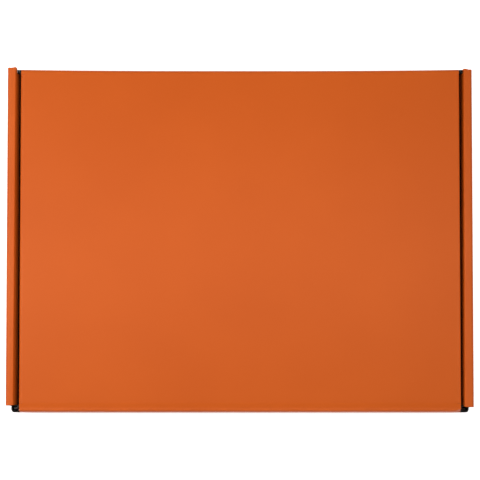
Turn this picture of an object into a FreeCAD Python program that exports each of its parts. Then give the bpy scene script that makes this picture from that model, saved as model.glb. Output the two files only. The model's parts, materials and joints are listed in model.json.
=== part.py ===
import FreeCAD, Part
import math
import os

import Sketcher
from FreeCAD import Placement, Rotation, Vector

# A roll-over mailer carton, folded up and closed.
# Frame: +Z up, +X to the right, the front wall faces -Y, the lid turns about its back crease at +Y.
# The origin is under the middle of the closed carton, on the surface that it stands on.
# Every panel is placed by its mid-plane. Two panels meet at a crease line, where their mid-planes
# cross. Each one stops short of that line, and a rounded strip of board joins them.

doc = FreeCAD.newDocument("MailerCarton")

# ---------------------------------------------------------------- driving sizes, in millimetres
SIZES = [
    ("inner_width", 304.8),
    ("inner_depth", 228.6),
    ("inner_height", 101.6),
    ("board", 2.25),
    ("crease_setback", 1.4),
    ("ear_setback", 1.5),
    ("side_pocket", 3.4),
    ("pocket_play", 0.45),
    ("lid_side_gap", 1.0),
    ("lid_end_gap", 1.2),
    ("front_flap_gap", 0.3),
    ("wall_top_gap", 0.9),
    ("ridge_drop", 0.4),
    ("ridge_top_width", 5.3),
    ("shoulder_foot", 97.4),
    ("ridge_edge_radius", 1.6),
    ("ridge_brow_radius", 1.1),
    ("side_front_reach", 114.9),
    ("side_back_reach", 118.2),
    ("inner_side_gap", 0.4),
    ("flap_lift", 3.0),
    ("flap_corner_radius", 6.0),
    ("dust_flap_inset", 1.5),
    ("dust_flap_drop", 58.0),
    ("dust_flap_taper", 11.0),
    ("dust_flap_radius", 12.0),
    ("ear_top", 97.0),
    ("ear_foot", 46.0),
    ("ear_reach", 42.0),
    ("ear_taper", 7.0),
    ("ear_radius", 8.0),
    ("corner_flap_foot", 4.0),
    ("front_corner_top", 42.0),
    ("front_corner_reach", 40.0),
    ("back_corner_top", 97.0),
    ("back_corner_reach", 54.0),
    ("corner_flap_taper", 6.0),
    ("corner_flap_radius", 5.0),
    ("tab_width", 30.0),
    ("tab_offset", 55.0),
    ("tab_lift", 0.2),
    ("slot_clearance", 0.2),
]

sheet = doc.addObject("Spreadsheet::Sheet", "dims")
for row, (alias, value) in enumerate(SIZES, start=1):
    sheet.set(f"A{row}", alias)
    sheet.set(f"B{row}", str(value))
    sheet.setAlias(f"B{row}", alias)
doc.recompute()


def size(text):
    """An expression in the sheet's aliases, with each alias written as a reference to its cell."""
    words = sorted((alias for alias, _ in SIZES), key=len, reverse=True)
    for number, alias in enumerate(words):
        text = text.replace(alias, f"<{number}>")
    for number, alias in enumerate(words):
        text = text.replace(f"<{number}>", f"dims.{alias}")
    return text


def value_of(expression):
    """The number that an expression comes to now."""
    found = sheet.evalExpression(expression)
    return float(getattr(found, "Value", found))


# ---------------------------------------------------------------- mid-planes of the panels
BOARD = size("board")
SETBACK = size("crease_setback")
EAR_SETBACK = size("ear_setback")

# the cavity's middle stands a little off the origin, because the closed carton reaches further forward
Y_MID = size("((inner_depth / 2 + 2 * board + front_flap_gap - side_back_reach) / 2)")

X_OUTER = size("(inner_width / 2 + 1.5 * board + side_pocket)")
X_POCKET = size("(inner_width / 2 + 1.5 * board + pocket_play)")
X_INNER = size("(inner_width / 2 + board / 2)")
X_DUST = size("(inner_width / 2 - lid_side_gap - board / 2)")
X_LID_END = size("(inner_width / 2 - lid_end_gap)")

Y_WALL = size("(inner_depth / 2 + board / 2)")
Y_FLAP = size("(inner_depth / 2 + 1.5 * board + front_flap_gap)")
Y_SIDE_FRONT = size("(0 - side_front_reach)")
Y_SIDE_BACK = size("side_back_reach")
Y_INNER_END = size("(inner_depth / 2 - inner_side_gap)")
Y_DUST_END = size("(inner_depth / 2 - dust_flap_inset)")

Z_BOTTOM = size("(board / 2)")
Z_LID = size("(1.5 * board + inner_height)")
Z_RIDGE = size("(1.5 * board + inner_height - ridge_drop)")

# where the panels stop, one setback short of their crease lines
Z_FOOT = f"({Z_BOTTOM} + {SETBACK})"
Z_HEAD = f"({Z_LID} - {SETBACK})"
Z_RIDGE_FOOT = f"({Z_RIDGE} - {SETBACK})"
X_WALL_END = f"({X_POCKET} - {SETBACK})"
X_FLAP_END = f"({X_POCKET} - {EAR_SETBACK})"
Y_WALL_END = f"({Y_WALL} - {SETBACK})"

LEFT = ("left", -1)
RIGHT = ("right", 1)
HANDS = (LEFT, RIGHT)

pieces = []


# ---------------------------------------------------------------- ways of making a piece
def origin_plane(body, role):
    for feature in body.Origin.OriginFeatures:
        if feature.Role == role:
            return feature
    raise LookupError(role)


def bind_base(piece, x, y, z):
    """Ties a piece's place to the sheet. y is counted from the middle of the cavity."""
    piece.setExpression("Placement.Base.x", x)
    piece.setExpression("Placement.Base.y", f"{Y_MID} + {y}")
    piece.setExpression("Placement.Base.z", z)


def draw_outline(sketch, corners):
    """Adds a closed outline whose corners, pairs of expressions, are all tied to the sheet."""
    points = [Vector(value_of(u), value_of(v), 0) for u, v in corners]
    count = len(points)
    first = sketch.GeometryCount
    for number in range(count):
        sketch.addGeometry(Part.LineSegment(points[number], points[(number + 1) % count]), False)
    for number in range(count):
        line, after = first + number, first + (number + 1) % count
        sketch.addConstraint(Sketcher.Constraint("Coincident", line, 2, after, 1))
    for number, (u, v) in enumerate(corners):
        line = first + number
        for kind, expression, value in (("DistanceX", u, points[number].x), ("DistanceY", v, points[number].y)):
            index = sketch.addConstraint(Sketcher.Constraint(kind, -1, 1, line, 1, value))
            sketch.setExpression(f"Constraints[{index}]", expression)


def padded(label, role, outlines, depth, base):
    """A body: one sketch on an origin plane, padded evenly to both sides of that plane."""
    body = doc.addObject("PartDesign::Body", label)
    body.Label = label
    sketch = body.newObject("Sketcher::SketchObject", f"{label}_outline")
    sketch.AttachmentSupport = [(origin_plane(body, role), "")]
    sketch.MapMode = "FlatFace"
    for outline in outlines:
        draw_outline(sketch, outline)
    doc.recompute()
    pad = body.newObject("PartDesign::Pad", f"{label}_pad")
    pad.Profile = sketch
    pad.Midplane = True
    pad.setExpression("Length", depth)
    bind_base(body, *base)
    doc.recompute()
    pieces.append(body)
    return body


def round_corners(body, corners, radius):
    """Rounds a flat piece's corners: those edges across its board that stand at the given corners."""
    solid = body.Tip
    pad = next(feature for feature in body.Group if feature.isDerivedFrom("PartDesign::Pad"))
    sketch = pad.Profile[0]
    wanted = [sketch.Placement.multVec(Vector(value_of(u), value_of(v), 0)) for u, v in corners]
    names = []
    for number, edge in enumerate(solid.Shape.Edges, start=1):
        if len(edge.Vertexes) != 2:
            continue
        middle = (edge.Vertexes[0].Point + edge.Vertexes[1].Point) / 2
        if any((middle - point).Length < 0.01 for point in wanted):
            names.append(f"Edge{number}")
    if len(names) != len(wanted):
        raise ValueError(f"{body.Label}: {len(names)} of {len(wanted)} corners found")
    fillet = body.newObject("PartDesign::Fillet", f"{body.Label}_corners")
    fillet.Base = (solid, names)
    fillet.setExpression("Radius", radius)
    doc.recompute()


def box(label, low, lengths):
    """A plain rectangular board, from its low corner and its three sizes."""
    piece = doc.addObject("Part::Box", label)
    piece.Label = label
    for side, expression in zip(("Length", "Width", "Height"), lengths):
        piece.setExpression(side, expression)
    bind_base(piece, *low)
    pieces.append(piece)
    return piece


def fold(label, first_way, second_way, centre, length, setback=SETBACK):
    """A crease: a quarter of a tube, one board thick, from one panel's outward way to the next one's.

    centre is the middle of the quarter tube's axis, and length its length along that axis.
    """
    tube = doc.addObject("Part::Cylinder", f"{label}_outside")
    tube.Angle = 90
    tube.setExpression("Radius", f"{setback} + {BOARD} / 2")
    tube.setExpression("Height", length)
    hollow = doc.addObject("Part::Cylinder", f"{label}_inside")
    hollow.setExpression("Radius", f"{setback} - {BOARD} / 2")
    hollow.setExpression("Height", length)
    piece = doc.addObject("Part::Cut", label)
    piece.Label = label
    piece.Base = tube
    piece.Tool = hollow
    along = first_way.cross(second_way)
    piece.Placement = Placement(Vector(0, 0, 0), Rotation(first_way, second_way, along, "ZXY"))
    start = [f"{c} - ({round(a)}) * {length} / 2" for c, a in zip(centre, along)]
    bind_base(piece, *start)
    pieces.append(piece)
    return piece


DOWN = Vector(0, 0, -1)
UP = Vector(0, 0, 1)
FORWARD = Vector(0, -1, 0)
BACKWARD = Vector(0, 1, 0)


def sideways(hand):
    return Vector(hand, 0, 0)


def mirrored_outline(half):
    """A full outline from its right half, listed from the bottom up."""
    return half + [(f"-({u})", v) for u, v in reversed(half)]


# ---------------------------------------------------------------- the bottom and its creases
def slot_outline(hand, place):
    """A slot in the bottom for one of an inner side wall's lock tabs."""
    near = size("(inner_width / 2 - slot_clearance / 2)")
    far = size("(inner_width / 2 + board + slot_clearance / 2)")
    half = size("(tab_width / 2 + slot_clearance)")
    middle = size(f"({place} * tab_offset)")
    return [
        (f"{hand} * {near}", f"{middle} - {half}"),
        (f"{hand} * {far}", f"{middle} - {half}"),
        (f"{hand} * {far}", f"{middle} + {half}"),
        (f"{hand} * {near}", f"{middle} + {half}"),
    ]


X_BOTTOM_END = f"({X_OUTER} - {SETBACK})"
bottom_outline = mirrored_outline([(X_BOTTOM_END, f"-{Y_WALL_END}"), (X_BOTTOM_END, Y_WALL_END)])
slots = [slot_outline(hand, place) for _, hand in HANDS for place in (-1, 1)]
padded("bottom_panel", "XY_Plane", [bottom_outline] + slots, BOARD, ("0", "0", Z_BOTTOM))

WALL_FOOT_WIDTH = size("(inner_width - 2 * slot_clearance)")
fold("bottom_front_fold", DOWN, FORWARD, ("0", f"-{Y_WALL_END}", Z_FOOT), WALL_FOOT_WIDTH)
fold("bottom_back_fold", DOWN, BACKWARD, ("0", Y_WALL_END, Z_FOOT), WALL_FOOT_WIDTH)

SIDE_FOOT_LENGTH = f"({Y_WALL_END} - {Y_SIDE_FRONT})"
SIDE_FOOT_MIDDLE = f"(({Y_WALL_END} + {Y_SIDE_FRONT}) / 2)"
for name, hand in HANDS:
    centre = (f"{hand} * {X_BOTTOM_END}", SIDE_FOOT_MIDDLE, Z_FOOT)
    fold(f"bottom_side_fold_{name}", DOWN, sideways(hand), centre, SIDE_FOOT_LENGTH)

# ---------------------------------------------------------------- front and back walls
WALL_TOP = size("(board + inner_height - wall_top_gap)")
front_half = [(X_WALL_END, Z_FOOT), (X_WALL_END, WALL_TOP)]
padded("front_wall", "XZ_Plane", [mirrored_outline(front_half)], BOARD, ("0", f"-{Y_WALL}", "0"))

back_half = [
    (X_WALL_END, Z_FOOT),
    (X_WALL_END, WALL_TOP),
    (X_LID_END, WALL_TOP),
    (X_LID_END, Z_HEAD),
]
padded("back_wall", "XZ_Plane", [mirrored_outline(back_half)], BOARD, ("0", Y_WALL, "0"))


# ---------------------------------------------------------------- corner flaps, held in the side walls' pockets
def corner_flap(end, name, hand, along, foot, top, reach):
    """One corner flap and the upright crease that joins it to the front or back wall."""
    way = FORWARD if along < 0 else BACKWARD
    height = f"({top} - {foot})"
    corner = (f"{hand} * {X_WALL_END}", f"{along} * {Y_WALL_END}", f"({top} + {foot}) / 2")
    fold(f"{end}_corner_fold_{name}", way, sideways(hand), corner, height)
    taper = size("corner_flap_taper")
    inner = f"{along} * ({Y_WALL_END} - {reach})"
    outer = f"{along} * {Y_WALL_END}"
    outline = [
        (outer, foot),
        (inner, f"{foot} + {taper}"),
        (inner, f"{top} - {taper}"),
        (outer, top),
    ]
    base = (f"{hand} * {X_POCKET}", "0", "0")
    flap = padded(f"{end}_corner_flap_{name}", "YZ_Plane", [outline], BOARD, base)
    round_corners(flap, outline[1:3], size("corner_flap_radius"))


for name, hand in HANDS:
    foot = size("corner_flap_foot")
    corner_flap("front", name, hand, -1, foot, size("front_corner_top"), size("front_corner_reach"))
    corner_flap("back", name, hand, 1, foot, size("back_corner_top"), size("back_corner_reach"))

# ---------------------------------------------------------------- double side walls
SIDE_LENGTH = f"({Y_SIDE_BACK} - {Y_SIDE_FRONT})"
SIDE_MIDDLE = f"(({Y_SIDE_BACK} + {Y_SIDE_FRONT}) / 2)"
HALF_BOARD = f"({BOARD} / 2)"
SHOULDER_FOOT = size("(shoulder_foot + 0)")
X_INNER_FACE = f"({X_INNER} - {HALF_BOARD})"

for name, hand in HANDS:
    low = (f"{hand} * {X_OUTER} - {HALF_BOARD}", Y_SIDE_FRONT, Z_FOOT)
    box(f"side_wall_outer_{name}", low, (BOARD, SIDE_LENGTH, f"{Z_RIDGE_FOOT} - {Z_FOOT}"))


def tabbed_outline():
    """The inner side wall: a rectangle whose foot has two tabs that reach down through the bottom."""
    foot, tip = BOARD, size("tab_lift")
    half = size("(tab_width / 2)")
    outline = [(f"-{Y_INNER_END}", SHOULDER_FOOT), (f"-{Y_INNER_END}", foot)]
    for place in (-1, 1):
        middle = size(f"({place} * tab_offset)")
        outline.append((f"{middle} - {half}", foot))
        outline.append((f"{middle} - {half}", tip))
        outline.append((f"{middle} + {half}", tip))
        outline.append((f"{middle} + {half}", foot))
    outline.append((Y_INNER_END, foot))
    outline.append((Y_INNER_END, SHOULDER_FOOT))
    return outline


for name, hand in HANDS:
    base = (f"{hand} * {X_INNER}", "0", "0")
    padded(f"side_wall_inner_{name}", "YZ_Plane", [tabbed_outline()], BOARD, base)


# The ridge's top is a strip narrower than the pocket below it. From the strip's inner edge, the brow,
# the board leans inward down to the inner wall: that leaning strip is the shoulder.
X_RIDGE_FACE = f"({X_OUTER} + {HALF_BOARD})"
X_BROW = f"({X_RIDGE_FACE} - {size('ridge_top_width')})"
Z_RIDGE_TOP = f"({Z_RIDGE} + {HALF_BOARD})"
Z_RIDGE_UNDER = f"({Z_RIDGE} - {HALF_BOARD})"
LEAN = f"(({X_BROW} - {X_INNER_FACE}) / ({Z_RIDGE_TOP} - {SHOULDER_FOOT}))"


def seen_face(z):
    """How far out the shoulder's seen face stands at height z."""
    return f"({X_INNER_FACE} + {LEAN} * ({z} - {SHOULDER_FOOT}))"


def hidden_face(z):
    return f"({seen_face(z)} + {BOARD})"


def shoulder(name, hand):
    outline = [
        (seen_face(SHOULDER_FOOT), SHOULDER_FOOT),
        (seen_face(Z_RIDGE_FOOT), Z_RIDGE_FOOT),
        (hidden_face(Z_RIDGE_FOOT), Z_RIDGE_FOOT),
        (hidden_face(SHOULDER_FOOT), SHOULDER_FOOT),
    ]
    outline = [(f"{hand} * {x}", z) for x, z in outline]
    padded(f"side_shoulder_{name}", "XZ_Plane", [outline], f"(2 * {Y_INNER_END})", ("0", "0", "0"))


def ridge(name, hand):
    """The rolled-over top of a side wall, from the outer wall's head over the top to the shoulder."""
    outline = [
        (X_RIDGE_FACE, Z_RIDGE_FOOT),
        (X_RIDGE_FACE, Z_RIDGE_TOP),
        (X_BROW, Z_RIDGE_TOP),
        (seen_face(Z_RIDGE_FOOT), Z_RIDGE_FOOT),
        (hidden_face(Z_RIDGE_FOOT), Z_RIDGE_FOOT),
        (hidden_face(Z_RIDGE_UNDER), Z_RIDGE_UNDER),
        (f"({X_RIDGE_FACE} - {BOARD})", Z_RIDGE_UNDER),
        (f"({X_RIDGE_FACE} - {BOARD})", Z_RIDGE_FOOT),
    ]
    outline = [(f"{hand} * {x}", z) for x, z in outline]
    piece = padded(f"side_ridge_{name}", "XZ_Plane", [outline], SIDE_LENGTH, ("0", SIDE_MIDDLE, "0"))
    round_corners(piece, outline[1:2], size("ridge_edge_radius"))
    round_corners(piece, outline[2:3], size("ridge_brow_radius"))


for name, hand in HANDS:
    shoulder(name, hand)
    ridge(name, hand)

# ---------------------------------------------------------------- the lid and the creases around it
X_LID_CREASE = f"({X_DUST} - {SETBACK})"
Y_FLAP_END = f"({Y_FLAP} - {SETBACK})"
NOTCH = f"({Y_DUST_END} + 0.1)"
lid_half = [
    (X_LID_END, f"-{Y_FLAP_END}"),
    (X_LID_END, f"-{NOTCH}"),
    (X_LID_CREASE, f"-{NOTCH}"),
    (X_LID_CREASE, NOTCH),
    (X_LID_END, NOTCH),
    (X_LID_END, Y_WALL_END),
]
padded("lid_panel", "XY_Plane", [mirrored_outline(lid_half)], BOARD, ("0", "0", Z_LID))

LID_WIDTH = f"(2 * {X_LID_END})"
fold("lid_back_fold", UP, BACKWARD, ("0", Y_WALL_END, Z_HEAD), LID_WIDTH)
fold("lid_front_fold", UP, FORWARD, ("0", f"-{Y_FLAP_END}", Z_HEAD), LID_WIDTH)

# ---------------------------------------------------------------- dust flaps, which hang inside the side walls
DUST_FOOT = size(f"({Z_HEAD.replace('dims.', '')} - dust_flap_drop)")
for name, hand in HANDS:
    centre = (f"{hand} * {X_LID_CREASE}", "0", Z_HEAD)
    fold(f"dust_flap_fold_{name}", UP, sideways(hand), centre, f"(2 * {Y_DUST_END})")
    slant = size("dust_flap_taper")
    outline = [
        (f"-{Y_DUST_END}", Z_HEAD),
        (f"-({Y_DUST_END} - {slant})", DUST_FOOT),
        (f"{Y_DUST_END} - {slant}", DUST_FOOT),
        (Y_DUST_END, Z_HEAD),
    ]
    base = (f"{hand} * {X_DUST}", "0", "0")
    flap = padded(f"dust_flap_{name}", "YZ_Plane", [outline], BOARD, base)
    round_corners(flap, outline[1:3], size("dust_flap_radius"))

# ---------------------------------------------------------------- the front flap and its two lock ears
EAR_TOP = size("(ear_top + 0)")
flap_half = [
    (X_FLAP_END, size("(flap_lift + 0)")),
    (X_FLAP_END, EAR_TOP),
    (X_LID_END, EAR_TOP),
    (X_LID_END, Z_HEAD),
]
front_flap = padded("front_flap", "XZ_Plane", [mirrored_outline(flap_half)], BOARD, ("0", f"-{Y_FLAP}", "0"))
flap_feet = [flap_half[0], (f"-({flap_half[0][0]})", flap_half[0][1])]
round_corners(front_flap, flap_feet, size("flap_corner_radius"))

Y_EAR_END = f"({Y_FLAP} - {EAR_SETBACK})"
EAR_HEIGHT = size("(ear_top - ear_foot)")
for name, hand in HANDS:
    centre = (f"{hand} * {X_FLAP_END}", f"-{Y_EAR_END}", size("(ear_top + ear_foot) / 2"))
    fold(f"ear_fold_{name}", FORWARD, sideways(hand), centre, EAR_HEIGHT, EAR_SETBACK)
    root = f"-{Y_EAR_END}"
    tip = size(f"({root.replace('dims.', '')} + ear_reach)")
    outline = [
        (root, size("ear_foot")),
        (tip, size("ear_foot + 2 * ear_taper")),
        (tip, size("ear_top - ear_taper")),
        (root, size("ear_top")),
    ]
    base = (f"{hand} * {X_POCKET}", "0", "0")
    ear = padded(f"lock_ear_{name}", "YZ_Plane", [outline], BOARD, base)
    round_corners(ear, outline[1:3], size("ear_radius"))

# ---------------------------------------------------------------- checks and files
doc.recompute()
for item in doc.Objects:
    if "Invalid" in item.State or "Error" in item.State:
        raise RuntimeError(f"{item.Label}: {item.State}")

os.makedirs("parts", exist_ok=True)
for piece in pieces:
    shape = piece.Shape
    if shape.isNull() or not shape.isValid() or len(shape.Solids) != 1:
        raise RuntimeError(f"{piece.Label}: no single valid solid")
    shape.exportStep(f"parts/{piece.Label}.step")
    print(f"{piece.Label}: {shape.Volume:.1f} mm3")
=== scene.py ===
import json
import math

import bmesh
import bpy
from mathutils import Vector
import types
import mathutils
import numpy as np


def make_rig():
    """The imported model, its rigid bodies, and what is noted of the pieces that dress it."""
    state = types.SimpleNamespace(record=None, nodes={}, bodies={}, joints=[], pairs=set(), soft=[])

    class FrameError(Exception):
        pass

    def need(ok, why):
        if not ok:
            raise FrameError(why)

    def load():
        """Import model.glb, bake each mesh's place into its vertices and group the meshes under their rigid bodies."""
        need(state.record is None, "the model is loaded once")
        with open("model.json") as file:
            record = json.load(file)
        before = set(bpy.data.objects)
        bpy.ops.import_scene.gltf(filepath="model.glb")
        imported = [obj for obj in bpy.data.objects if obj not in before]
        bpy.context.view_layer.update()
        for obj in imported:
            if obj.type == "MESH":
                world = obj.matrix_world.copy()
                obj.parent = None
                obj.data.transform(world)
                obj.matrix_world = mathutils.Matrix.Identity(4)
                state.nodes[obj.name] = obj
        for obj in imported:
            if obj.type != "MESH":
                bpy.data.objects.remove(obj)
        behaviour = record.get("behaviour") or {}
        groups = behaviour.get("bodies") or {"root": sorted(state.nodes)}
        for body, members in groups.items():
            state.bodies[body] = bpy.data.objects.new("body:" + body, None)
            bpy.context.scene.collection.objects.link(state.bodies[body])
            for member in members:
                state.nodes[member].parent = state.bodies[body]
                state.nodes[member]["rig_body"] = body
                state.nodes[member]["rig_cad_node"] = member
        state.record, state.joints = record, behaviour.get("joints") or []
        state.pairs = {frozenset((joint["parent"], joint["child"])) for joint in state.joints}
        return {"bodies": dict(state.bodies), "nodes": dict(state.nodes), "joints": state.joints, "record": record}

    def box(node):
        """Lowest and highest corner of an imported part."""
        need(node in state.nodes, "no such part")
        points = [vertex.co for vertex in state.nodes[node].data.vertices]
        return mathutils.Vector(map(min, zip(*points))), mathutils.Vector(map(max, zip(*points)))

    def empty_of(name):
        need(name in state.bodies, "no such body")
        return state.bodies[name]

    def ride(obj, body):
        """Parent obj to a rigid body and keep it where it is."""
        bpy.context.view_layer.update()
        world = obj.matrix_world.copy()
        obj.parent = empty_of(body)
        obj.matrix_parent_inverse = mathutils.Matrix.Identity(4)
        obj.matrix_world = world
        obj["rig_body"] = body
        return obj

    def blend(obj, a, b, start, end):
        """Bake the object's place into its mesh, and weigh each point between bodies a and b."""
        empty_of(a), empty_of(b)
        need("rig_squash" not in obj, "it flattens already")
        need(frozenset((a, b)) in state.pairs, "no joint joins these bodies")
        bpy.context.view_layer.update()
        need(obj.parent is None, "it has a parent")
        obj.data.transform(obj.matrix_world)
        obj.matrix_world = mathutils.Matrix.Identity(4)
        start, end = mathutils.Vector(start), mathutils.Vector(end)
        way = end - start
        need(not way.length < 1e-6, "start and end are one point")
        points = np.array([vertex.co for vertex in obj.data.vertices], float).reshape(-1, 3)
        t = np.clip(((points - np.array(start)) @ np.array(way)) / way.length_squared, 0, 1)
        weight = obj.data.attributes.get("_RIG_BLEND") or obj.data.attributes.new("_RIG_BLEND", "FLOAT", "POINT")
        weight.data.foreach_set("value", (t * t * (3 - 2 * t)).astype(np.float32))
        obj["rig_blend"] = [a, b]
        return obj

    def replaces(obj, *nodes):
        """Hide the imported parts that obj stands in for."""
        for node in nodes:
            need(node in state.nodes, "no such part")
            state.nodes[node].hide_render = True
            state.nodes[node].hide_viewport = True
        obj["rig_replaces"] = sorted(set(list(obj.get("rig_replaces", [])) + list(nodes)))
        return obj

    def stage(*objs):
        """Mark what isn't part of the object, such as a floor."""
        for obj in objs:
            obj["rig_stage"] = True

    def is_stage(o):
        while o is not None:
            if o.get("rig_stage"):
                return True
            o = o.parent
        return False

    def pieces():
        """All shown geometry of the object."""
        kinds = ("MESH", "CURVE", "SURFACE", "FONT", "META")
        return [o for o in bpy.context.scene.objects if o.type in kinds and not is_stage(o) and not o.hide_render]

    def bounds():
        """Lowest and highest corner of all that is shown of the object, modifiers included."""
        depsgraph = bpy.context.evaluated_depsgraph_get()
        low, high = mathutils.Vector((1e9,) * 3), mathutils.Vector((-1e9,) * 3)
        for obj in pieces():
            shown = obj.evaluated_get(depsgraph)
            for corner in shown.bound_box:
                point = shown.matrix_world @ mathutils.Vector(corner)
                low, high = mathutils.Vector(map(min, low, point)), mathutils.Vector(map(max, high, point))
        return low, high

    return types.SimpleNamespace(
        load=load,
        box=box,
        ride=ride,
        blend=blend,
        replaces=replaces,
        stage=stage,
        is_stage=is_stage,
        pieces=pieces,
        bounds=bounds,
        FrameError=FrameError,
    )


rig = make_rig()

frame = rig.load()
cad_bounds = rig.bounds()

# The carton is one die-cut blank of corrugated board. Each panel and each crease is rebuilt here as
# board: a printed liner, a wavy middle layer and a plain black liner. Lengths are in millimetres until
# a point is placed. x is to the right, z is up, and y is to the back, from the middle of the cavity.


# ------------------------------------------------------------------ sizes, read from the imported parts
def span(node, axis):
    """A node's lowest and highest place along x, y or z, in the frame's own millimetres."""
    low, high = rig.box(node)
    number = "xyz".index(axis)
    return low[number] * 1000, high[number] * 1000


def middle(node, axis):
    return sum(span(node, axis)) / 2


def extent(node, axis):
    low, high = span(node, axis)
    return high - low


BOARD = extent("bottom_panel", "z")
HALF = BOARD / 2
LINER = 0.30
MEDIUM = 0.24
FLUTE_PITCH = 6.5
FLUTE_STEPS = 12

Y_MID = (middle("front_wall", "y") + middle("back_wall", "y")) / 2

X_OUTER = middle("side_wall_outer_right", "x")
X_POCKET = middle("lock_ear_right", "x")
X_INNER = middle("side_wall_inner_right", "x")
X_DUST = middle("dust_flap_right", "x")
X_WALL_END = span("front_wall", "x")[1]
X_FLAP_END = span("front_flap", "x")[1]
X_BOTTOM_END = span("bottom_panel", "x")[1]
X_FOOT_END = span("bottom_front_fold", "x")[1]
X_LID_END = span("lid_panel", "x")[1]
X_LID_CREASE = span("dust_flap_fold_right", "x")[0]
X_RIDGE_FACE = span("side_ridge_right", "x")[1]
X_INNER_FACE = X_INNER - HALF

Y_WALL = middle("back_wall", "y") - Y_MID
Y_WALL_END = span("bottom_panel", "y")[1] - Y_MID
Y_FLAP = Y_MID - middle("front_flap", "y")
Y_FLAP_END = Y_MID - span("lid_panel", "y")[0]
Y_EAR_END = Y_MID - span("lock_ear_right", "y")[0]
Y_DUST_END = span("dust_flap_right", "y")[1] - Y_MID
Y_INNER_END = span("side_wall_inner_right", "y")[1] - Y_MID

Z_BOTTOM = middle("bottom_panel", "z")
Z_FOOT, Z_WALL_TOP = span("front_wall", "z")
Z_LID = middle("lid_panel", "z")
Z_HEAD = span("front_flap", "z")[1]
Z_RIDGE_FOOT, Z_RIDGE_TOP = span("side_ridge_right", "z")
Z_SHOULDER_FOOT = span("side_shoulder_right", "z")[0]
Z_TAB_TIP = span("side_wall_inner_right", "z")[0]
Z_EAR_FOOT, Z_EAR_TOP = span("lock_ear_right", "z")
Z_DUST_FOOT = span("dust_flap_right", "z")[0]
Z_FLAP_FOOT = span("front_flap", "z")[0]

# each ridge was rolled over a little differently
RIDGE_ENDS = {"left": (-114.4, 118.8), "right": (-115.5, 117.4)}
RIDGE_SLANT = {"left": 1.0, "right": 0.6}
RIDGE_TOP_WIDTH = {"left": 4.8, "right": 5.5}
# above this height each ridge's shoulder carries the print; below it the shoulder is black liner, painted shade down
# in the slot
PAINTED_SHADE_TOP = {"left": 98.8, "right": 98.5}

HANDS = (("left", -1), ("right", 1))


# ------------------------------------------------------------------ materials
def new_material(name):
    material = bpy.data.materials.new(name)
    material.use_nodes = True
    tree = material.node_tree
    tree.nodes.clear()
    output = tree.nodes.new("ShaderNodeOutputMaterial")
    shader = tree.nodes.new("ShaderNodeBsdfPrincipled")
    tree.links.new(shader.outputs["BSDF"], output.inputs["Surface"])
    return material, tree, shader


def noise(tree, scale, detail, roughness=0.5, stretch=(1, 1, 1)):
    """Noise in the object's own coordinates."""
    coordinates = tree.nodes.new("ShaderNodeTexCoord")
    mapping = tree.nodes.new("ShaderNodeMapping")
    mapping.inputs["Scale"].default_value = stretch
    texture = tree.nodes.new("ShaderNodeTexNoise")
    texture.inputs["Scale"].default_value = scale
    texture.inputs["Detail"].default_value = detail
    texture.inputs["Roughness"].default_value = roughness
    tree.links.new(coordinates.outputs["Object"], mapping.inputs["Vector"])
    tree.links.new(mapping.outputs["Vector"], texture.inputs["Vector"])
    return texture.outputs["Fac"]


def two_tone(tree, factor, low, high, start=0.35, end=0.65):
    ramp = tree.nodes.new("ShaderNodeValToRGB")
    ramp.color_ramp.elements[0].position = start
    ramp.color_ramp.elements[0].color = (*low, 1)
    ramp.color_ramp.elements[1].position = end
    ramp.color_ramp.elements[1].color = (*high, 1)
    tree.links.new(factor, ramp.inputs["Fac"])
    return ramp.outputs["Color"]


def bump(tree, shader, height, strength, distance):
    node = tree.nodes.new("ShaderNodeBump")
    node.inputs["Strength"].default_value = strength
    node.inputs["Distance"].default_value = distance
    tree.links.new(height, node.inputs["Height"])
    tree.links.new(node.outputs["Normal"], shader.inputs["Normal"])


def printed(name, low, high, roughness):
    """Flat orange print under a matte film, with a faint mottle and the liner's fine grain."""
    material, tree, shader = new_material(name)
    mottle = noise(tree, scale=9.0, detail=4.0)
    tree.links.new(two_tone(tree, mottle, low, high), shader.inputs["Base Color"])
    shader.inputs["Roughness"].default_value = roughness
    shader.inputs["Specular IOR Level"].default_value = 0.15
    bump(tree, shader, noise(tree, scale=700.0, detail=3.0), strength=0.10, distance=0.0002)
    return material


def paper(name, low, high):
    """Uncoated dark paper with visible fibre."""
    material, tree, shader = new_material(name)
    fibre = noise(tree, scale=420.0, detail=5.0, roughness=0.7, stretch=(1.0, 0.35, 1.0))
    tree.links.new(two_tone(tree, fibre, low, high), shader.inputs["Base Color"])
    shader.inputs["Roughness"].default_value = 0.88
    shader.inputs["Specular IOR Level"].default_value = 0.2
    bump(tree, shader, fibre, strength=0.25, distance=0.0002)
    return material


PRINT = printed("orange_print", (0.600, 0.098, 0.0062), (0.630, 0.106, 0.0074), 0.46)
# a slightly lighter copy of the print for the creases: partly the pale stress of folded print, partly a painted
# highlight along the crease edges
PRINT_FOLD = printed("orange_print_fold", (0.600, 0.098, 0.0062), (0.650, 0.112, 0.0100), 0.44)
PAPER = paper("black_liner", (0.016, 0.016, 0.016), (0.040, 0.039, 0.038))
FLUTE = paper("grey_flute", (0.070, 0.068, 0.064), (0.260, 0.252, 0.238))
MATERIALS = (PRINT, PRINT_FOLD, PAPER, FLUTE)
SLOT = {material.name: number for number, material in enumerate(MATERIALS)}


# ------------------------------------------------------------------ board geometry
def ease(value, low, high):
    """0 below low, 1 above high, and a smooth step between them."""
    share = min(max((value - low) / (high - low), 0), 1)
    return share * share * (3 - 2 * share)


def metres(x, y, z):
    return (x / 1000, (y + Y_MID) / 1000, z / 1000)


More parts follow.
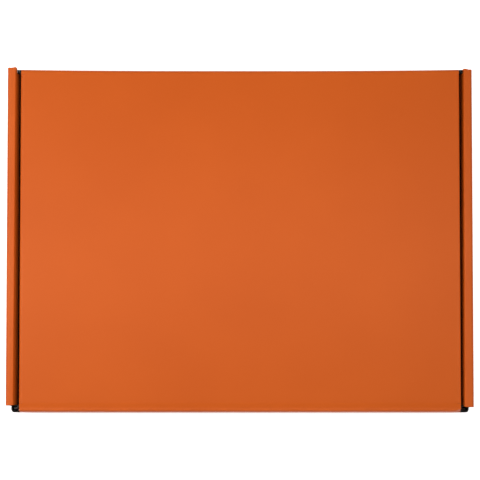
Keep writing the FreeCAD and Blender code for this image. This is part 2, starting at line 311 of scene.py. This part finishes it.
# How far the board strays from straight, and the stretches over which each stray fades in, all in
# millimetres. They were set against the photo.
BACK_BOW, BACK_SAG, BOW_SPAN = 0.85, 0.08, 148
BACK_FADE, BOW_END, BOW_END_FADE = (60, 116), 157.8, 2.5
LID_REACH = X_LID_END + 0.1
DIP, DIP_REGAINED = 0.34, 0.55
DIP_FADE, REGAIN_FADE, LID_SKIN = (112.0, 116.3), (116.3, 117.2), (103.9, 105.9)
PRESS, CORNER_RUB = 0.5, {"left": 0.3, "right": 1.1}
PRESS_FADE, PRESS_HEIGHT, CORNER_START, CORNER_LENGTH = (116.9, 119.0), (98, 103), 146.0, 5.2
EDGE_SAG = 0.55
SAG_FADE, SAG_START, SAG_LENGTH, SAG_HEIGHT = (155, 160.3), 50, 150, (100, 105)
FRONT_WIDENING, WIDENING_START, WIDENING_LENGTH = 0.7, 10, 130
BACK_WIDENING, WIDENING_FADE = 0.4, (107, 117)
PINCH, PINCH_HALF = 0.3, 90
BROW_END, BROW_END_FADE, BROW_FADE, BROW_HEIGHT = 159.6, 3, (151.8, 152.4), (97.4, 103)
BULGE, BULGE_FADE, BULGE_HEIGHT = 0.3, (157.6, 159.2), (40, 95)


def settle(x, y, z):
    """Small, smooth strays from straight, and the step to metres.

    The back edge bows outward towards its corners. The board dips just behind the front crease, which
    is pressed in, with its corners rubbed round. The right ridge's outer edge sags towards the front,
    and neither ridge is equally wide all the way along. The left side wall bulges at the top.
    """
    side = "right" if x > 0 else "left"
    wide = abs(x)
    bow = BACK_BOW * (wide / BOW_SPAN) ** 3 - BACK_SAG
    y += bow * ease(y, *BACK_FADE) * ease(BOW_END - wide, 0, BOW_END_FADE) * max(z / Z_LID, 0)
    if wide < LID_REACH:
        dip = ease(-y, *DIP_FADE) * (1 - DIP_REGAINED * ease(-y, *REGAIN_FADE))
        corner = max((wide - CORNER_START) / CORNER_LENGTH, 0)
        rub = PRESS + CORNER_RUB[side] * corner**2
        y += rub * ease(-y, *PRESS_FADE) * ease(z, *PRESS_HEIGHT)
        z -= DIP * dip * ease(z, *LID_SKIN)
    if side == "right":
        z -= EDGE_SAG * ease(x, *SAG_FADE) * ease(SAG_START - y, 0, SAG_LENGTH) * ease(z, *SAG_HEIGHT)
    brow = ease(BROW_END - wide, 0, BROW_END_FADE) * ease(wide, *BROW_FADE) * ease(z, *BROW_HEIGHT)
    if side == "right":
        x -= FRONT_WIDENING * brow * ease(WIDENING_START - y, 0, WIDENING_LENGTH)
    else:
        x += brow * (BACK_WIDENING * ease(y, *WIDENING_FADE) - PINCH * max(1 - (y / PINCH_HALF) ** 2, 0))
        x -= BULGE * ease(-x, *BULGE_FADE) * ease(z, *BULGE_HEIGHT)
    return metres(x, y, z)


def crossings(loops, u):
    """Where the line at u crosses an outline with holes, as (low, high) pairs of v."""
    found = []
    for loop in loops:
        for (u0, v0), (u1, v1) in zip(loop, loop[1:] + loop[:1]):
            if (u0 <= u) != (u1 <= u):
                found.append(v0 + (v1 - v0) * (u - u0) / (u1 - u0))
    found.sort()
    return list(zip(found[::2], found[1::2]))


def merged(values, nearest=0.01):
    """The values in order, with those that stand almost together taken as one."""
    kept = []
    for value in sorted(values):
        if not kept or value - kept[-1] > nearest:
            kept.append(value)
    return kept


# each strip's ends are taken this share of its width in from its marks
STRIP_INSET = 1e-4
# a row that comes this near to a strip's end, in millimetres, makes no cell of its own
ROW_GAP = 0.02
# where the skin changes, a cell takes the one found this far below its upper end, in millimetres
SKIN_STEP = 0.01
# edges between faces that turn by less than this, in radians, are shaded smooth
SMOOTH_ANGLE = 0.6


class Sheet:
    """Collects the closed layers that make up one piece of board.

    An outline lies in (u, v). It is cut into strips at the marks along u, and the strips into cells
    at the rows along v. w is the height above the board's mid-plane.
    """

    def __init__(self):
        self.mesh = bmesh.new()

    def layer(self, loops, place, low, high, top, rest, marks, rows=()):
        marks = merged([u for loop in loops for u, _ in loop] + list(marks))
        strips = []
        for u0, u1 in zip(marks, marks[1:]):
            step = (u1 - u0) * STRIP_INSET
            strips.append((crossings(loops, u0 + step), crossings(loops, u1 - step)))
        sides = list(zip([[]] + [far for _, far in strips], [near for near, _ in strips] + [[]]))
        levels = []
        for left, right in sides:
            ends = [end for pair in left + right for end in pair]
            levels.append(merged(ends + [row for row in rows if min(ends) < row < max(ends)]))

        def nearest(number, v):
            return min(range(len(levels[number])), key=lambda index: abs(levels[number][index] - v))

        made = {}

        def vertex(number, index, upper):
            key = (number, index, upper)
            if key not in made:
                u, v = marks[number], levels[number][index]
                w = (high if upper else low)(u)
                made[key] = self.mesh.verts.new(settle(*place(u, v, w)))
            return made[key]

        def face(corners, material):
            corners = list(dict.fromkeys(corners))
            if len(corners) > 2:
                new = self.mesh.faces.new(corners)
                new.material_index = SLOT[material.name]
                new.smooth = True

        def wall(one, two):
            ring = [vertex(*one, False), vertex(*two, False), vertex(*two, True), vertex(*one, True)]
            face(ring, rest)

        for number, (near, far) in enumerate(strips):
            for (a0, a1), (b0, b1) in zip(near, far):
                whole = [row for row in rows if max(a0, b0) + ROW_GAP < row < min(a1, b1) - ROW_GAP]
                cells = [(a0, b0)] + [(row, row) for row in sorted(whole)] + [(a1, b1)]
                ends = [(nearest(number, a), nearest(number + 1, b)) for a, b in cells]
                for (p, q), (r, s), (v, _) in zip(ends, ends[1:], cells[1:]):
                    ring = [(number, index) for index in range(p, r + 1)]
                    ring += [(number + 1, index) for index in range(s, q - 1, -1)]
                    skin = top
                    if callable(top):
                        skin = top((marks[number] + marks[number + 1]) / 2, v - SKIN_STEP)
                    face([vertex(*spot, True) for spot in ring], skin)
                    face([vertex(*spot, False) for spot in reversed(ring)], rest)
                wall((number, ends[0][0]), (number + 1, ends[0][1]))
                wall((number, ends[-1][0]), (number + 1, ends[-1][1]))
        for number, (left, right) in enumerate(sides):
            for index, (v0, v1) in enumerate(zip(levels[number], levels[number][1:])):
                v = (v0 + v1) / 2
                if any(a < v < b for a, b in left) != any(a < v < b for a, b in right):
                    wall((number, index), (number, index + 1))

    def finish(self, name):
        bmesh.ops.recalc_face_normals(self.mesh, faces=self.mesh.faces)
        for edge in self.mesh.edges:
            edge.smooth = len(edge.link_faces) == 2 and edge.calc_face_angle(0) < SMOOTH_ANGLE
        data = bpy.data.meshes.new(name)
        self.mesh.to_mesh(data)
        self.mesh.free()
        for material in MATERIALS:
            data.materials.append(material)
        piece = bpy.data.objects.new(name, data)
        bpy.context.scene.collection.objects.link(piece)
        return piece


def board(name, body, loops, place, flutes, skin=PRINT, marks=(), rows=()):
    """One piece of board: printed liner outside (w > 0), plain liner inside, and between them flutes
    that run along "u" or "v", or a crushed core (None)."""
    sheet = Sheet()
    inner = HALF - LINER
    sheet.layer(loops, place, lambda u: inner, lambda u: HALF, skin, PAPER, marks, rows)
    sheet.layer(loops, place, lambda u: -HALF, lambda u: -inner, PAPER, PAPER, marks, rows)
    if flutes:
        half = MEDIUM / 2
        swing = inner - half

        def wave(u):
            return swing * math.sin(2 * math.pi * u / FLUTE_PITCH)

        def turned_place(u, v, w):
            return place(v, u, w)

        if flutes == "u":
            loops = [[(v, u) for u, v in loop] for loop in loops]
        ends = [u for loop in loops for u, _ in loop]
        count = math.ceil((max(ends) - min(ends)) / FLUTE_PITCH * FLUTE_STEPS)
        crests = [min(ends) + (max(ends) - min(ends)) * number / count for number in range(count + 1)]
        where = turned_place if flutes == "u" else place
        low, high = (lambda u: wave(u) - half), (lambda u: wave(u) + half)
        sheet.layer(loops, where, low, high, FLUTE, FLUTE, crests)
    else:
        sheet.layer(loops, place, lambda u: -inner, lambda u: inner, FLUTE, FLUTE, marks, rows)
    piece = sheet.finish(f"{name}_board")
    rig.replaces(piece, name)
    if body:
        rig.ride(piece, body)
    return piece


# ------------------------------------------------------------------ outlines and places
def rectangle(u0, u1, v0, v1):
    return [(u0, v0), (u1, v0), (u1, v1), (u0, v1)]


def mirrored(half):
    """A full outline from its right half, listed from the bottom up."""
    return half + [(-u, v) for u, v in reversed(half)]


def arc(corner, before, after, radius, steps):
    """Points of the arc that rounds a corner between two neighbours."""
    here = Vector(corner)
    back, on = (Vector(before) - here).normalized(), (Vector(after) - here).normalized()
    half_angle = back.angle(on) / 2
    centre = here + (back + on).normalized() * radius / math.sin(half_angle)
    start = here + back * radius / math.tan(half_angle) - centre
    turn = math.copysign(math.pi - 2 * half_angle, on.cross(back))
    points = []
    for step in range(steps + 1):
        c, s = math.cos(turn * step / steps), math.sin(turn * step / steps)
        points.append(centre + Vector((start.x * c - start.y * s, start.x * s + start.y * c)))
    return points


def rounded(corners, radii, steps=8):
    """An outline with some corners rounded: radii gives each corner's radius, or 0."""
    made = []
    for number, (corner, radius) in enumerate(zip(corners, radii)):
        if radius:
            after = corners[(number + 1) % len(corners)]
            made += [tuple(point) for point in arc(corner, corners[number - 1], after, radius, steps)]
        else:
            made.append(corner)
    return made


def lying(z, up):
    """u is x, v is y, and w points up or down."""
    return lambda u, v, w: (u, v, z + up * w)


def facing_y(y, way):
    """u is x, v is z, and w points forward or back."""
    return lambda u, v, w: (u, y + way * w, v)


def facing_x(x, way):
    """u is y, v is z, and w points left or right."""
    return lambda u, v, w: (x + way * w, u, v)


def across_x(a, b, v):
    return (v, a, b)


def across_y(a, b, v):
    return (a, v, b)


def across_z(a, b, v):
    return (a, b, v)


def elbow(corner, first, second, leg, radius, steps=10):
    """A bent line in (a, b) that comes in along first, rounds the corner and leaves along second."""
    start = Vector(corner) - Vector(first).normalized() * leg
    end = Vector(corner) + Vector(second).normalized() * leg
    return [start, *arc(corner, start, end, radius, steps), end]


SHORTEST = 1e-3


def bent(name, body, outside, inside, upright, outline, flutes=None, rows=()):
    """A strip of board that bends between two lines, one for each face.

    upright turns (a, b, v) into (x, y, z), and outline gives the strip's outline from its length.
    """
    line = [(one + two) / 2 for one, two in zip(outside, inside)]
    marks = [0.0]
    for one, two in zip(line, line[1:]):
        marks.append(marks[-1] + max((two - one).length, SHORTEST))

    def place(u, v, w):
        number = 0
        while number < len(marks) - 2 and u > marks[number + 1]:
            number += 1
        share = (u - marks[number]) / (marks[number + 1] - marks[number])
        out = outside[number].lerp(outside[number + 1], share)
        into = inside[number].lerp(inside[number + 1], share)
        spot = into.lerp(out, (w + HALF) / BOARD)
        return upright(spot.x, spot.y, v)

    return board(name, body, [outline(marks[-1])], place, flutes, PRINT_FOLD, marks, rows)


# the inner face of a crease is almost all arc
INNER_FILL = 0.999


def fold(
    name, body, corner, leg_end, first, second, upright, v0, v1, rounding=1.5, flutes=None, rows=()
):
    """A quarter-turn crease. corner is where its two panels' mid-planes cross, in (a, b), and leg_end
    is how far from there the panels stop."""
    inward = Vector(second) - Vector(first)
    outer_corner = Vector(corner) - inward * HALF
    inner_corner = Vector(corner) + inward * HALF
    outside = elbow(outer_corner, first, second, leg_end + HALF, rounding)
    leg = leg_end - HALF
    inside = elbow(inner_corner, first, second, leg, leg * INNER_FILL)

    def outline(end):
        return rectangle(0, end, v0, v1)

    return bent(name, body, outside, inside, upright, outline, flutes, rows)


SETBACK = Y_WALL - Y_WALL_END
EAR_SETBACK = Y_FLAP - Y_EAR_END

# ------------------------------------------------------------------ bottom
TAB_MIDDLES = (-55.0, 55.0)
TAB_HALF = 15.0
TAB_TAPER = 1.0
SLOT_PLAY = 0.1

bottom = [rectangle(-X_BOTTOM_END, X_BOTTOM_END, -Y_WALL_END, Y_WALL_END)]
for _, hand in HANDS:
    for tab in TAB_MIDDLES:
        near, far = sorted((hand * (X_INNER_FACE - SLOT_PLAY), hand * (X_INNER + HALF + SLOT_PLAY)))
        slot_half = TAB_HALF + 2 * SLOT_PLAY
        bottom.append(rectangle(near, far, tab - slot_half, tab + slot_half))
board("bottom_panel", "tray", bottom, lying(Z_BOTTOM, -1), "v")

for name, way in (("bottom_front_fold", -1), ("bottom_back_fold", 1)):
    corner = (way * Y_WALL, Z_BOTTOM)
    fold(name, "tray", corner, SETBACK, (way, 0), (0, 1), across_x, -X_FOOT_END, X_FOOT_END)

# ------------------------------------------------------------------ front and back walls
front = [mirrored([(X_WALL_END, Z_FOOT), (X_WALL_END, Z_WALL_TOP)])]
board("front_wall", "tray", front, facing_y(-Y_WALL, -1), "v")

back = [
    mirrored(
        [(X_WALL_END, Z_FOOT), (X_WALL_END, Z_WALL_TOP), (X_LID_END, Z_WALL_TOP), (X_LID_END, Z_HEAD)]
    )
]
# the columns and rows are where a panel has vertices for settle to move
wall_columns = [12.0 * n for n in range(-12, 13)]
corner_columns = [-150.4, -149.6, 149.6, 150.4]
board("back_wall", "tray", back, facing_y(Y_WALL, 1), "v", marks=wall_columns)

# ------------------------------------------------------------------ side walls, rolled over at the top
EDGE_RADIUS, BROW_RADIUS, INNER_RADIUS = 2.1, 0.9, 0.2

for name, hand in HANDS:
    y_front, y_back = RIDGE_ENDS[name]
    slant = RIDGE_SLANT[name]
    x_brow = X_RIDGE_FACE - RIDGE_TOP_WIDTH[name]
    lean = (x_brow - X_INNER_FACE) / (Z_RIDGE_TOP - Z_SHOULDER_FOOT)

    def seen_face(z, lean=lean):
        return X_INNER_FACE + lean * (z - Z_SHOULDER_FOOT)

    def leaning(u, v, w, hand=hand, seen_face=seen_face):
        return (hand * (seen_face(v) + HALF - w), u, v)

    # the print on the brow, and black liner below it as painted shade in the slot between ridge and lid
    def print_or_painted_shade(u, v, edge=PAINTED_SHADE_TOP[name]):
        return PRINT_FOLD if v > edge else PAPER

    def ridge_outline(end, y_front=y_front, y_back=y_back, slant=slant):
        return [
            (0, y_front), (end, y_front + 0.3), (end, y_back - slant),
            (end * 0.75, y_back - slant * 0.6), (end * 0.25, y_back), (0, y_back),
        ]

    corner = (hand * X_OUTER, Z_BOTTOM)
    side_fold = f"bottom_side_fold_{name}"
    fold(side_fold, "tray", corner, SETBACK, (hand, 0), (0, 1), across_y, y_front, Y_WALL_END)

    outer = [rectangle(y_front, y_back, Z_FOOT, Z_RIDGE_FOOT)]
    board(f"side_wall_outer_{name}", "tray", outer, facing_x(hand * X_OUTER, hand), "u")

    inner = [(-Y_INNER_END, Z_SHOULDER_FOOT), (-Y_INNER_END, BOARD)]
    for tab in TAB_MIDDLES:
        inner += [(tab - TAB_HALF, BOARD), (tab - TAB_HALF + TAB_TAPER, Z_TAB_TIP)]
        inner += [(tab + TAB_HALF - TAB_TAPER, Z_TAB_TIP), (tab + TAB_HALF, BOARD)]
    inner += [(Y_INNER_END, BOARD), (Y_INNER_END, Z_SHOULDER_FOOT)]
    # its face to the cavity is black liner where the print would wrap round: painted shade in the slot
    board(f"side_wall_inner_{name}", "tray", [inner], facing_x(hand * X_INNER, -hand), "u", PAPER)

    shoulder = [rectangle(-Y_INNER_END, Y_INNER_END, Z_SHOULDER_FOOT, Z_RIDGE_FOOT)]
    board(f"side_shoulder_{name}", "tray", shoulder, leaning, "u", print_or_painted_shade, rows=[PAINTED_SHADE_TOP[name]])

    up, across, down = (0, 1), (-hand, 0), (-hand * lean, -1)
    under = Z_RIDGE_TOP - BOARD
    rise, drop = Z_RIDGE_TOP - Z_RIDGE_FOOT, under - Z_RIDGE_FOOT
    slope = math.hypot(1, lean)
    outside = elbow((hand * X_RIDGE_FACE, Z_RIDGE_TOP), up, across, rise, EDGE_RADIUS)[:-1]
    outside += elbow((hand * x_brow, Z_RIDGE_TOP), across, down, rise * slope, BROW_RADIUS)[1:]
    inner_edge, inner_brow = hand * (X_RIDGE_FACE - BOARD), hand * (seen_face(under) + BOARD)
    inside = elbow((inner_edge, under), up, across, drop, INNER_RADIUS)[:-1]
    inside += elbow((inner_brow, under), across, down, drop * slope, INNER_RADIUS)[1:]
    bent(f"side_ridge_{name}", "tray", outside, inside, across_y, ridge_outline, "v")

# ------------------------------------------------------------------ corner flaps, in the side pockets
CORNER_FOOT = span("front_corner_flap_right", "z")[0]
CORNER_TAPER, CORNER_RADIUS = 6, 5
for name, hand in HANDS:
    for end, way in (("front", -1), ("back", 1)):
        flap_name = f"{end}_corner_flap_{name}"
        top = span(flap_name, "z")[1]
        reach = extent(flap_name, "y")
        corner = (hand * X_POCKET, way * Y_WALL)
        fold_name = f"{end}_corner_fold_{name}"
        fold(fold_name, "tray", corner, SETBACK, (hand, 0), (0, -way), across_z, CORNER_FOOT, top)
        root, far = way * Y_WALL_END, way * (Y_WALL_END - reach)
        low_corner, high_corner = (far, CORNER_FOOT + CORNER_TAPER), (far, top - CORNER_TAPER)
        corners = [(root, CORNER_FOOT), low_corner, high_corner, (root, top)]
        flap = [rounded(corners, (0, CORNER_RADIUS, CORNER_RADIUS, 0))]
        board(flap_name, "tray", flap, facing_x(hand * X_POCKET, hand), "v")

# ------------------------------------------------------------------ lid
NOTCH_PLAY = 0.1
NOTCH = Y_DUST_END + NOTCH_PLAY
lid = [
    mirrored(
        [
            (X_LID_END, -Y_FLAP_END),
            (X_LID_END, -NOTCH),
            (X_LID_CREASE, -NOTCH),
            (X_LID_CREASE, NOTCH),
            (X_LID_END, NOTCH),
            (X_LID_END, Y_WALL_END),
        ]
    )
]
dip_rows = [-116.2 + 0.4 * n for n in range(12)]
lid_rows = dip_rows + [-111.0 + 6.0 * n for n in range(38)]
lid_columns = [4.0 * n for n in range(-37, 38)] + corner_columns
board("lid_panel", "lid", lid, lying(Z_LID, 1), "v", marks=lid_columns, rows=lid_rows)

LID_WIDTH = (-X_LID_END, X_LID_END)
BACK_ROUNDING, FRONT_ROUNDING = 2.3, 2.1
back_corner, front_corner = (Y_WALL, Z_LID), (-Y_FLAP, Z_LID)
back_fold = fold(
    "lid_back_fold", None, back_corner, SETBACK, (1, 0), (0, -1), across_x,
    *LID_WIDTH, BACK_ROUNDING, rows=lid_columns,
)
front_fold = fold(
    "lid_front_fold", None, front_corner, SETBACK, (-1, 0), (0, -1), across_x,
    *LID_WIDTH, FRONT_ROUNDING, rows=lid_columns,
)

# ------------------------------------------------------------------ dust flaps
DUST_TAPER, DUST_RADIUS = 11.0, 12
EDGE_ROUNDING = {"left": 1.6, "right": 1.1}
dust_folds = {}
for name, hand in HANDS:
    corner = (hand * X_DUST, Z_LID)
    fold_name = f"dust_flap_fold_{name}"
    dust_folds[name] = fold(
        fold_name, None, corner, SETBACK, (hand, 0), (0, -1), across_y,
        -Y_DUST_END, Y_DUST_END, EDGE_ROUNDING[name],
    )
    foot_end = Y_DUST_END - DUST_TAPER
    feet = [(-foot_end, Z_DUST_FOOT), (foot_end, Z_DUST_FOOT)]
    corners = [(-Y_DUST_END, Z_HEAD), *feet, (Y_DUST_END, Z_HEAD)]
    flap = [rounded(corners, (0, DUST_RADIUS, DUST_RADIUS, 0))]
    # its outward face is black liner where the lid's print would carry on: painted shade in the slot
    board(f"dust_flap_{name}", f"dust_flap_{name}", flap, facing_x(hand * X_DUST, hand), "u", PAPER)

# ------------------------------------------------------------------ front flap and lock ears
FLAP_RADIUS = 6
flap_corners = mirrored(
    [(X_FLAP_END, Z_FLAP_FOOT), (X_FLAP_END, Z_EAR_TOP), (X_LID_END, Z_EAR_TOP), (X_LID_END, Z_HEAD)]
)
flap_radii = [FLAP_RADIUS] + [0] * 6 + [FLAP_RADIUS]
flap_outline = [rounded(flap_corners, flap_radii)]
flap_columns = wall_columns + corner_columns + [-148, 148]
flap_rows = [98.5, 100.0, 101.5, 102.8]
place = facing_y(-Y_FLAP, -1)
board("front_flap", "front_flap", flap_outline, place, "v", marks=flap_columns, rows=flap_rows)

EAR_REACH = extent("lock_ear_right", "y")
EAR_FOOT_TAPER, EAR_TOP_TAPER, EAR_RADIUS, EAR_ROUNDING = 14, 7, 8, 2.2
for name, hand in HANDS:
    corner = (hand * X_POCKET, -Y_FLAP)
    fold_name = f"ear_fold_{name}"
    ways = (hand, 0), (0, 1)
    ends = (Z_EAR_FOOT, Z_EAR_TOP)
    fold(fold_name, "front_flap", corner, EAR_SETBACK, *ways, across_z, *ends, EAR_ROUNDING, "v")
    root, tip = -Y_EAR_END, EAR_REACH - Y_EAR_END
    low_corner, high_corner = (tip, Z_EAR_FOOT + EAR_FOOT_TAPER), (tip, Z_EAR_TOP - EAR_TOP_TAPER)
    corners = [(root, Z_EAR_FOOT), low_corner, high_corner, (root, Z_EAR_TOP)]
    ear = [rounded(corners, (0, EAR_RADIUS, EAR_RADIUS, 0))]
    board(f"lock_ear_{name}", "front_flap", ear, facing_x(hand * X_POCKET, hand), "v")

# ------------------------------------------------------------------ creases that bend with the joints
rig.blend(back_fold, "tray", "lid", metres(0, Y_WALL, Z_HEAD), metres(0, Y_WALL_END, Z_LID))
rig.blend(front_fold, "lid", "front_flap", metres(0, -Y_FLAP_END, Z_LID), metres(0, -Y_FLAP, Z_HEAD))
for name, hand in HANDS:
    start = metres(hand * X_LID_CREASE, 0, Z_LID)
    end = metres(hand * X_DUST, 0, Z_HEAD)
    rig.blend(dust_folds[name], "lid", f"dust_flap_{name}", start, end)

# ------------------------------------------------------------------ floor, dome, light and camera
FLOOR_HALF, FLOOR_Z, DOME_RADIUS = 20, -0.0004, 18
FLOOR_BASE, FLOOR_GLOW, SKY_STRENGTH = 0.9, 0.82, 0.34


def set_piece(name, mesh_data, base, glow):
    """A stage piece that never lights the carton: the floor, or the white dome behind everything."""
    piece = bpy.data.objects.new(name, mesh_data)
    bpy.context.scene.collection.objects.link(piece)
    material, _, shader = new_material(f"{name}_white")
    shader.inputs["Base Color"].default_value = (base, base, base, 1)
    shader.inputs["Roughness"].default_value = 0.9
    shader.inputs["Emission Color"].default_value = (1, 1, 1, 1)
    shader.inputs["Emission Strength"].default_value = glow
    mesh_data.materials.append(material)
    piece.visible_diffuse = False
    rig.stage(piece)
    return piece


floor_data = bpy.data.meshes.new("floor")
floor_corners = [(-1, -1), (1, -1), (1, 1), (-1, 1)]
floor_points = [(FLOOR_HALF * a, FLOOR_HALF * b, FLOOR_Z) for a, b in floor_corners]
floor_data.from_pydata(floor_points, [], [(0, 1, 2, 3)])
set_piece("floor", floor_data, FLOOR_BASE, FLOOR_GLOW)

dome_mesh = bmesh.new()
bmesh.ops.create_uvsphere(dome_mesh, u_segments=48, v_segments=24, radius=DOME_RADIUS)
dome_data = bpy.data.meshes.new("dome")
dome_mesh.to_mesh(dome_data)
dome_mesh.free()
dome = set_piece("dome", dome_data, 0.0, 1.0)
for way in ("glossy", "transmission", "volume_scatter", "shadow"):
    setattr(dome, f"visible_{way}", False)

world = bpy.data.worlds.new("studio")
bpy.context.scene.world = world
world.use_nodes = True
sky = world.node_tree.nodes["Background"]
sky.inputs["Color"].default_value = (1, 1, 1, 1)
sky.inputs["Strength"].default_value = SKY_STRENGTH


def soft_light(name, spot, target, size, power):
    data = bpy.data.lights.new(name, "AREA")
    data.shape = "RECTANGLE"
    data.size, data.size_y = size
    data.energy = power
    light = bpy.data.objects.new(name, data)
    light.location = spot
    light.rotation_mode = "QUATERNION"
    light.rotation_quaternion = (Vector(target) - Vector(spot)).to_track_quat("-Z", "Y")
    light.visible_camera = False
    bpy.context.scene.collection.objects.link(light)


# where each light stands, what it faces and its sides are in metres, and its power in watts
soft_light("strip", (-0.25, 0.005, 0.43), (-0.25, 0.005, 0.1), (1.0, 0.12), 1.05)
soft_light("key", (-0.45, 0.02, 0.75), (0, 0, 0.1), (0.3, 0.3), 1.71)
soft_light("fill", (0.50, 0.02, 0.80), (0, 0, 0.1), (0.3, 0.3), 0.83)

# four low lights that reach the side walls and not the top: where each stands, and its power
LOW_LIGHTS = ((1.0, 0, 0.5), (-1.0, 0, 0.6), (0, 1.0, 1.0), (0, -1.0, 1.0))
LOW_HEIGHT = 0.045
for number, (x, y, power) in enumerate(LOW_LIGHTS):
    soft_light(f"low_{number}", (x, y, LOW_HEIGHT), (0, 0, LOW_HEIGHT), (1.0, 0.08), power)

SENSOR_WIDTH, FOCAL_LENGTH = 36, 185.4375
DISTANCE = 1.7
TILT = math.radians(4.1)
LOOK = Vector((0, -0.0004, 0.1061))
camera_data = bpy.data.cameras.new("camera")
camera_data.sensor_width = SENSOR_WIDTH
camera_data.lens = FOCAL_LENGTH
camera_data.clip_start = 0.05
camera_data.clip_end = 50
camera = bpy.data.objects.new("camera", camera_data)
camera.location = LOOK + DISTANCE * Vector((0, -math.sin(TILT), math.cos(TILT)))
camera.rotation_euler = (TILT, 0, 0)
bpy.context.scene.collection.objects.link(camera)
bpy.context.scene.camera = camera
bpy.context.scene.view_settings.view_transform = "Standard"

boxes = {"cad": cad_bounds, "visual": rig.bounds()}
with open("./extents.json", "w") as out:
    json.dump({name: [list(corner) for corner in ends] for name, ends in boxes.items()}, out, indent=1)
